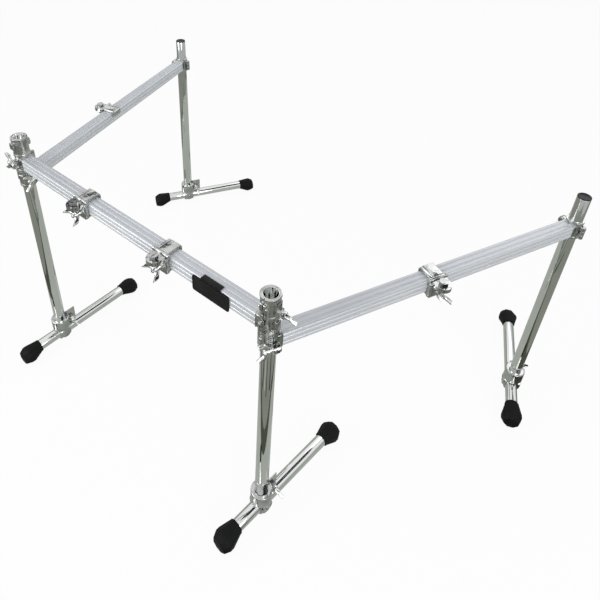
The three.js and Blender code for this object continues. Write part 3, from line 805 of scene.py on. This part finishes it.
clamps = {
    "front_corner_left": ("corner_left", "front", 0.0, 85.0),
    "front_corner_right": ("corner_right", "front", math.pi, 57.0),
    "right_corner_right": ("corner_right", "right", 0.0, 90.0),
    "right_end_right": ("end_right", "right", math.pi, 90.0),
    "left_corner_left": ("corner_left", "left", 0.0, 90.0),
    "left_end_left": ("end_left", "left", math.pi, 90.0),
}
ear_face = SPLIT_HALF + EAR_THICK
clamp_bolt = wing_bolt("clamp_bolt_pattern", ear_face, -ear_face - SEAT_GAP, CLAMP_SLEEVE)
for top in (COLLAR_TOP, BARREL_HALF):
    body_pattern = clamp_body("clamp_body_pattern", -BARREL_HALF, top)
    door_pattern = clamp_door("clamp_door_pattern", -BARREL_HALF, top)
    for name, (post, bar, half_turn, roll) in clamps.items():
        if (top == COLLAR_TOP) != (bar == "front"):
            continue
        start, end, body = bars[bar]
        spot = frame_at(posts[post], bar_height(bar), toward(start, end)[0] + half_turn)
        fitted(body_pattern, name + "_clamp_half", spot, casting, "clamp_casting", body, name + "_body")
        fitted(door_pattern, name + "_clamp_door", spot, casting, "clamp_casting",
               name + "_door_body", name + "_door")
        rolled = Matrix.Translation((0, -BOLT_OUT, 0)) @ Matrix.Rotation(math.radians(roll), 4, "X")
        fitted(clamp_bolt, name + "_wing_bolt", spot @ rolled, chrome, "chrome",
               name + "_bolt_body", name + "_bolt")
    put_away(body_pattern, door_pattern)
put_away(clamp_bolt)


# Foot castings: four chromed castings that join each post to its foot tube. A round saddle grips the tube,
# two flat-faced bosses stand on its sides, and a broad slotted collar with two thick ears and a wing bolt
# grips the post. A slotted screw in one boss locks the tube.
FOOT_AXIS = 0.037
POST_BOTTOM = 0.06005
SADDLE = 0.0255
SADDLE_HALF = 0.021
BOSS = 0.020
BOSS_HIGH = 0.042
BOSS_REACH = 0.028
COLLAR = 0.031
COLLAR_HIGH = 0.044
BASE_EAR = 0.009
EAR_HIGH = 0.079
FOOT_BOLT_X = 0.038
FOOT_SLEEVE = 0.003
SLOT_HALF = 0.0015
FOOT_ROLL = 69.0
TUBE_GAP = 0.0003
DISH_DEEP = 0.0009
foot_turns = {"corner_right": 83.8, "corner_left": 88.6, "end_right": 111.0, "end_left": 58.1}
base_body = {place: place + "_base_body" for place in posts}


def foot_frame(place):
    return Matrix.Translation(posts[place]) @ Matrix.Rotation(math.radians(foot_turns[place]), 4, "Z")


def foot_casting(name):
    top = POST_BOTTOM + COLLAR_HIGH
    saddle = rod("saddle", SADDLE, -SADDLE_HALF, SADDLE_HALF, sides=64, rim=0.0020, steps=3)
    form = drilled(
        along_x(saddle, 0, 0, FOOT_AXIS),
        rod("neck", SADDLE, FOOT_AXIS, POST_BOTTOM + 0.002, sides=64, rim=0.0),
        along_y(rod("bosses", BOSS, -BOSS_REACH, BOSS_REACH, sides=56, rim=0.0022, steps=3), 0, 0, BOSS_HIGH),
        rod("collar", COLLAR, POST_BOTTOM, top, sides=72, rim=0.0026, steps=3),
        solid=True,
    )
    for side in (1, -1):
        near, far = sorted((side * SLOT_HALF, side * (SLOT_HALF + BASE_EAR)))
        low, high = EAR_HIGH - EAR_ROUND, EAR_HIGH + EAR_ROUND
        ear = drilled(
            block("web", (TUBE + 0.002, near, low), (FOOT_BOLT_X, far, high), rim=0.0),
            along_y(rod("end", EAR_ROUND, near, far, sides=40, rim=0.0), FOOT_BOLT_X, 0, EAR_HIGH),
            solid=True,
        )
        only(ear)
        form = drilled(form, softened(ear, 0.0011, angle=50.0), solid=True)
    dish = BOSS - 0.0042
    dish_low = BOSS_REACH - DISH_DEEP
    form = drilled(
        form,
        along_x(rod("tube_bore", TUBE + TUBE_GAP, -0.05, 0.05, sides=64, rim=0.0), 0, 0, FOOT_AXIS),
        rod("post_bore", TUBE + 0.00035, POST_BOTTOM - 0.0003, top + 0.01, sides=64, rim=0.0),
        rod("mouth", COLLAR - 0.0045, top - 0.0014, top + 0.01, sides=64, rim=0.0),
        block("slot", (0.0, -SLOT_HALF, POST_BOTTOM + 0.001), (0.06, SLOT_HALF, top + 0.01), rim=0.0),
        along_y(rod("bolt_hole", BOLT_HOLE, -0.02, 0.02, sides=24, rim=0.0), FOOT_BOLT_X, 0, EAR_HIGH),
        along_y(rod("left_dish", dish, dish_low, 0.04, sides=48, rim=0.0), 0, 0, BOSS_HIGH),
        along_y(rod("right_dish", dish, -0.04, -dish_low, sides=48, rim=0.0), 0, 0, BOSS_HIGH),
    )
    only(form)
    softened(form, 0.0)
    parts = [form]
    screw = rod("screw", 0.0064, BOSS_REACH - 0.003, BOSS_REACH + 0.0016, sides=32, rim=0.0008)
    groove_low = (-0.0009, -0.01, BOSS_REACH + 0.0002)
    groove = block("groove", groove_low, (0.0009, 0.01, BOSS_REACH + 0.003), rim=0.0)
    screw = along_y(drilled(screw, groove))
    screw.data.transform(Matrix.Translation((0, 0, BOSS_HIGH)) @ Matrix.Rotation(math.pi, 4, "Z"))
    parts.append(screw)
    for turn in (110.0, 180.0, 250.0):
        rib_low = (COLLAR - 0.002, -0.0024, POST_BOTTOM + 0.004)
        rib = block("rib", rib_low, (COLLAR, 0.0024, top - 0.006), rim=0.0008)
        rib.data.transform(Matrix.Rotation(math.radians(turn), 4, "Z"))
        parts.append(rib)
    return joined(name, *parts)


casting_pattern = foot_casting("foot_casting_pattern")
foot_seat = SLOT_HALF + BASE_EAR + SEAT_GAP
foot_bolt = wing_bolt("foot_bolt_pattern", foot_seat, -foot_seat, FOOT_SLEEVE)
bolt_spot = (
    Matrix.Translation((FOOT_BOLT_X, 0, EAR_HIGH))
    @ Matrix.Rotation(math.radians(90.0), 4, "Z")
    @ Matrix.Rotation(math.radians(FOOT_ROLL), 4, "X")
)
for place in posts:
    fitted(casting_pattern, place + "_foot_casting", foot_frame(place), casting, "clamp_casting",
           base_body[place], place + "_base")
    fitted(foot_bolt, place + "_foot_wing_bolt", foot_frame(place) @ bolt_spot, chrome, "chrome",
           place + "_bolt_body", place + "_bolt")
put_away(casting_pattern, foot_bolt)


# Foot tubes and rubber feet: a chromed tube across under each casting, and on each end a moulded black
# rubber foot. It grows from a round sleeve to an eight-sided block with a flat sole and a sloping nose.
rubber = worn_material(
    "moulded_rubber", 0.0, (0.0020, 0.0020, 0.0024), (0.0070, 0.0070, 0.0076), 0.52, 0.80,
    patch_scale=22.0, streak_scale=260.0, specular=0.16,
)
grained(rubber, 650.0, 0.5, 0.0005)

NEAR_END = -0.1417
FAR_END = 0.315
RUBBER_GRIP = 0.0475
RUBBER_MOUTH = 0.0213
# Each stage of a rubber: how far along, half its height, half its width, and how far down its middle lies.
RUBBER_STAGES = (
    (0.0340, 0.0295, 0.0310, 0.0075),
    (0.0120, 0.0295, 0.0310, 0.0075),
    (0.0166, 0.0230, 0.0232, 0.0098),
    (0.0014, 0.0210, 0.0211, 0.0099),
)


def rubber_foot(name):
    """Built upright, mouth down: each stage is drawn out of the last, widened and let down to the floor."""
    piece = round_stock(name, RUBBER_MOUTH / math.cos(math.pi / 8), 0.0, 0.004, 8)
    bpy.ops.object.mode_set(mode="EDIT")
    bpy.ops.mesh.select_all(action="SELECT")
    bpy.ops.transform.rotate(value=math.radians(22.5), orient_axis="Z", center_override=(0, 0, 0))
    tall, wide, drop = RUBBER_MOUTH, RUBBER_MOUTH, 0.0
    for rise, taller, wider, lower in RUBBER_STAGES:
        faces_where(lambda middle, normal: normal.z > 0.9)
        bpy.ops.mesh.extrude_region_move(TRANSFORM_OT_translate={"value": (lower - drop, 0, rise)})
        bpy.ops.transform.resize(value=(taller / tall, wider / wide, 1.0), center_override=(lower, 0, 0))
        tall, wide, drop = taller, wider, lower
    bpy.ops.object.mode_set(mode="OBJECT")
    softened(piece, 0.0008, angle=12.0)
    socket = rod("socket", TUBE + TUBE_GAP, -0.01, RUBBER_GRIP, sides=64, rim=0.0)
    piece = drilled(piece, socket)
    lip = open_tube("lip", 0.0216, 0.0021, 0.0, 0.0030, sides=64, rim=0.0008)
    return along_x(joined(name, piece, lip), 0, 0, FOOT_AXIS)


rubber_pattern = rubber_foot("rubber_foot_pattern")
tube_pattern = along_x(open_tube("foot_tube_pattern", TUBE, TUBE_WALL, NEAR_END, FAR_END), 0, 0, FOOT_AXIS)
far_spot = Matrix.Translation((FAR_END - RUBBER_GRIP + TUBE_GAP, 0, 0))
near_spot = Matrix.Translation((NEAR_END + RUBBER_GRIP - TUBE_GAP, 0, 0)) @ Matrix.Rotation(math.pi, 4, "Z")
for place in posts:
    fitted(tube_pattern, place + "_foot_tube", foot_frame(place), chrome, "chrome",
           base_body[place], place + "_tube")
    for end, spot in (("near", near_spot), ("far", far_spot)):
        fitted(rubber_pattern, f"{place}_{end}_rubber_foot", foot_frame(place) @ spot, rubber, "rubber",
               base_body[place], f"{place}_rubber_{end}")
put_away(tube_pattern, rubber_pattern)


# Rack clamps: four chromed castings for drum arms. The body hangs on the outer face of the bar and holds
# an arm in the upright bore of its round head. A jaw with two raised straps swings over the bar and hooks
# behind it, and a wing bolt below the head draws it tight.
HOLDER_HALF = 0.025
HOLDER_WIDE = 0.028
HOLDER_LOW = -0.029
HOLDER_FACE = 0.0203
HOLDER_BACK = 0.0343
HEAD_OUT = 0.046
HEAD = 0.021
HEAD_TOP = 0.024
HEAD_LOW = 0.012
ARM_BORE = 0.0113
RIDGE_Y = 0.024
RIDGE_Z = 0.026
RIDGE = 0.0045
HOLDER_BOLT_Z = -0.015
HOLDER_SLEEVE = 0.006
JAW_HALF = 0.021
JAW_THICK = 0.0055
HOLDER_ROLL = 37.0
YOKE_LOW = 0.010
PAD_HALF = 0.0165
SET_SCREW_SPOT = (0, 0.0275, -0.0225)
STRAP = (-0.0205, 0.0095)
NARROW_STRAP = (0.0125, 0.0205)


def holder_body(name):
    """The head with its bore, the back on the bar's face, the pad for the bolt and the hinge cheeks."""
    arm = moved_out(rod("arm", ARM_BORE, HEAD_LOW - 0.01, HEAD_TOP + 0.01, sides=48, rim=0.0), HEAD_OUT)
    head = moved_out(rod("head", HEAD, HEAD_LOW, HEAD_TOP, sides=56, rim=0.0), HEAD_OUT)
    neck = block("neck", (-HEAD, HOLDER_BACK - 0.0048, HEAD_LOW), (HEAD, HEAD_OUT, HEAD_TOP), rim=0.0)
    head = drilled(head, neck, solid=True)
    only(head)
    softened(head, 0.0014, angle=50.0, steps=3)
    head = drilled(head, arm)
    only(head)
    softened(head, 0.0005, angle=60.0)
    bolt_hole = along_y(rod("bolt_hole", BOLT_HOLE, 0.0, 0.06, sides=24, rim=0.0), 0, 0, HOLDER_BOLT_Z)
    back_low = (-HOLDER_HALF, HOLDER_FACE, HOLDER_LOW)
    back = block("back", back_low, (HOLDER_HALF, HOLDER_BACK - 0.0014, 0.0195), rim=0.0020, steps=3)
    pad_low = (-PAD_HALF, HOLDER_BACK - 0.004, HOLDER_LOW + 0.004)
    pad = block("pad", pad_low, (PAD_HALF, HOLDER_BACK, YOKE_LOW), rim=0.0016, steps=3)
    yoke_high = (HOLDER_WIDE, HOLDER_BACK - 0.0006, 0.0196)
    lip_high = (HOLDER_HALF, HOLDER_FACE + 0.001, -HOLDER_FACE)
    brow_low = (-HEAD + 0.002, HOLDER_BACK - 0.003, HEAD_LOW - 0.006)
    brow_high = (HEAD - 0.002, HOLDER_BACK + 0.004, HEAD_LOW + 0.002)
    parts = [
        head,
        drilled(back, fresh_copy(bolt_hole)),
        drilled(pad, bolt_hole),
        block("yoke", (-HOLDER_WIDE, HOLDER_FACE, YOKE_LOW), yoke_high, rim=0.0022, steps=3),
        block("lip", (-HOLDER_HALF, 0.006, -0.0263), lip_high, rim=0.0014),
        block("brow", brow_low, brow_high, rim=0.0028, steps=3),
    ]
    for side in (1, -1):
        x0, x1 = sorted((side * HOLDER_WIDE, side * (JAW_HALF + 0.0003)))
        ridge = rod("ridge", RIDGE, x0, x1, sides=32, rim=0.0008)
        parts.append(along_x(ridge, 0, RIDGE_Y, RIDGE_Z))
        parts.append(block("cheek", (x0, HOLDER_FACE, YOKE_LOW), (x1, RIDGE_Y + RIDGE, RIDGE_Z), rim=0.0009))
    pin = rod("pin", 0.002, -HOLDER_WIDE - 0.0006, HOLDER_WIDE + 0.0006, sides=20, rim=0.0004)
    parts.append(along_x(pin, 0, RIDGE_Y, RIDGE_Z))
    set_screw = rod("set_screw", 0.0036, HOLDER_HALF - 0.002, HOLDER_HALF + 0.0026, sides=24, rim=0.0007)
    for side in (False, True):
        parts.append(along_x(fresh_copy(set_screw), *SET_SCREW_SPOT, back=side))
    put_away(set_screw)
    return joined(name, *parts)


def holder_jaw(name):
    """A flat plate over the bar, turned down behind it, with a wide and a narrow strap and a rolled lip."""
    top = HOLDER_FACE + JAW_THICK
    plate_high = (JAW_HALF, RIDGE_Y - 0.0012, top)
    bend = rod("bend", JAW_THICK, -JAW_HALF, JAW_HALF, sides=40, rim=0.0009)
    inside = block("inside", (-0.03, -HOLDER_FACE, -0.01), (0.03, 0.02, HOLDER_FACE), rim=0.0)
    knuckle_rod = rod("ridge", RIDGE, -JAW_HALF, JAW_HALF, sides=32, rim=0.0008)
    pin_bore = rod("pin", 0.0024, -0.03, 0.03, sides=20, rim=0.0)
    low, high = STRAP
    narrow_low, narrow_high = NARROW_STRAP
    strap_low = (low, -HOLDER_FACE - 0.0035, top - 0.001)
    down_high = (high, -top + 0.001, HOLDER_FACE + 0.0035)
    narrow_start = (narrow_low, -HOLDER_FACE - 0.0030, top - 0.001)
    narrow_end = (narrow_high, RIDGE_Y - 0.0050, top + 0.0020)
    return joined(
        name,
        block("plate", (-JAW_HALF, -HOLDER_FACE - 0.001, HOLDER_FACE), plate_high, rim=0.0010),
        block("hook", (-JAW_HALF, -top, 0.0055), (JAW_HALF, -HOLDER_FACE, HOLDER_FACE), rim=0.0012),
        drilled(along_x(bend, 0, -HOLDER_FACE, HOLDER_FACE), inside),
        along_x(rod("roll", 0.0036, -JAW_HALF, JAW_HALF, sides=32, rim=0.0010), 0, -top + 0.0030, 0.0088),
        drilled(along_x(knuckle_rod, 0, RIDGE_Y, RIDGE_Z), along_x(pin_bore, 0, RIDGE_Y, RIDGE_Z)),
        block("strap", strap_low, (high, RIDGE_Y - 0.0050, top + 0.0030), rim=0.0014, steps=3),
        block("strap_down", (low, -top - 0.0014, 0.0080), down_high, rim=0.0012, steps=3),
        block("narrow_strap", narrow_start, narrow_end, rim=0.0012),
    )


holder_body_pattern = holder_body("holder_body_pattern")
holder_jaw_pattern = holder_jaw("holder_jaw_pattern")
holder_bolt = wing_bolt("holder_bolt_pattern", -HOLDER_FACE, -HOLDER_BACK - SEAT_GAP, HOLDER_SLEEVE)
bolt_spot = (
    Matrix.Translation((0, 0, HOLDER_BOLT_Z))
    @ Matrix.Rotation(math.radians(-90.0), 4, "Z")
    @ Matrix.Rotation(math.radians(HOLDER_ROLL), 4, "X")
)
holders = {
    "holder_front_left": ("front", 0.321, math.pi),
    "holder_front_right": ("front", 0.641, math.pi),
    "holder_right": ("right", 0.456, math.pi),
    "holder_left": ("left", 0.434, 0.0),
}


def along_bar(start, end, reach):
    """The point at this distance from the first post toward the second."""
    angle = toward(start, end)[0]
    return posts[start] + Vector((math.cos(angle), math.sin(angle), 0)) * reach


for name, (bar, reach, half_turn) in holders.items():
    start, end = bars[bar][:2]
    spot = frame_at(along_bar(start, end, reach), bar_height(bar), toward(start, end)[0] + half_turn)
    fitted(holder_body_pattern, name + "_casting", spot, casting, "clamp_casting",
           name + "_holder_body", name + "_body")
    fitted(holder_jaw_pattern, name + "_hook_jaw", spot, casting, "clamp_casting",
           name + "_jaw_body", name + "_jaw")
    fitted(holder_bolt, name + "_wing_bolt", spot @ bolt_spot, chrome, "chrome",
           name + "_bolt_body", name + "_bolt")
put_away(holder_body_pattern, holder_jaw_pattern, holder_bolt)


# Badge plate: a black moulded plate with round corners on the front bar's outer face, held by a tab that
# hooks over the bar. A shallow raised border runs round its bare face.
BADGE_WIDE = 0.116
BADGE_THICK = 0.003
BADGE_TOP = 0.018
BADGE_HIGH = 0.048
BADGE_CORNER = 0.006
BADGE_REACH = 0.803
TAB_WIDE = 0.062
plate = block("plate", (-BADGE_WIDE / 2, -HOLDER_FACE - BADGE_THICK, BADGE_TOP - BADGE_HIGH),
              (BADGE_WIDE / 2, -HOLDER_FACE, BADGE_TOP), rim=0.0)
only(plate)
bpy.ops.object.mode_set(mode="EDIT")
edges_where(lambda run, first: abs(run.y) > 0.001)
bpy.ops.mesh.bevel(offset=BADGE_CORNER, segments=6, affect="EDGES")
faces_where(lambda middle, normal: normal.y < -0.9)
bpy.ops.mesh.inset(thickness=0.0022, depth=0.0)
bpy.ops.mesh.inset(thickness=0.0006, depth=-0.0007)
bpy.ops.object.mode_set(mode="OBJECT")
softened(plate, 0.0004, angle=50.0)
neck = block("neck", (-TAB_WIDE / 2, -HOLDER_FACE - BADGE_THICK, BADGE_TOP - 0.006),
             (TAB_WIDE / 2, -HOLDER_FACE, HOLDER_FACE + BADGE_THICK), rim=0.0010)
tab = block("tab", (-TAB_WIDE / 2, -HOLDER_FACE - BADGE_THICK, HOLDER_FACE),
            (TAB_WIDE / 2, -0.0063, HOLDER_FACE + BADGE_THICK), rim=0.0012)
badge = joined("badge_pattern", plate, neck, tab)
badge_spot = frame_at(
    along_bar("corner_left", "corner_right", BADGE_REACH),
    bar_height("front"),
    toward("corner_left", "corner_right")[0],
)
fitted(badge, "badge_plate_bare", badge_spot, plastic, "black_plastic", "frame", "badge_plate")
put_away(badge)
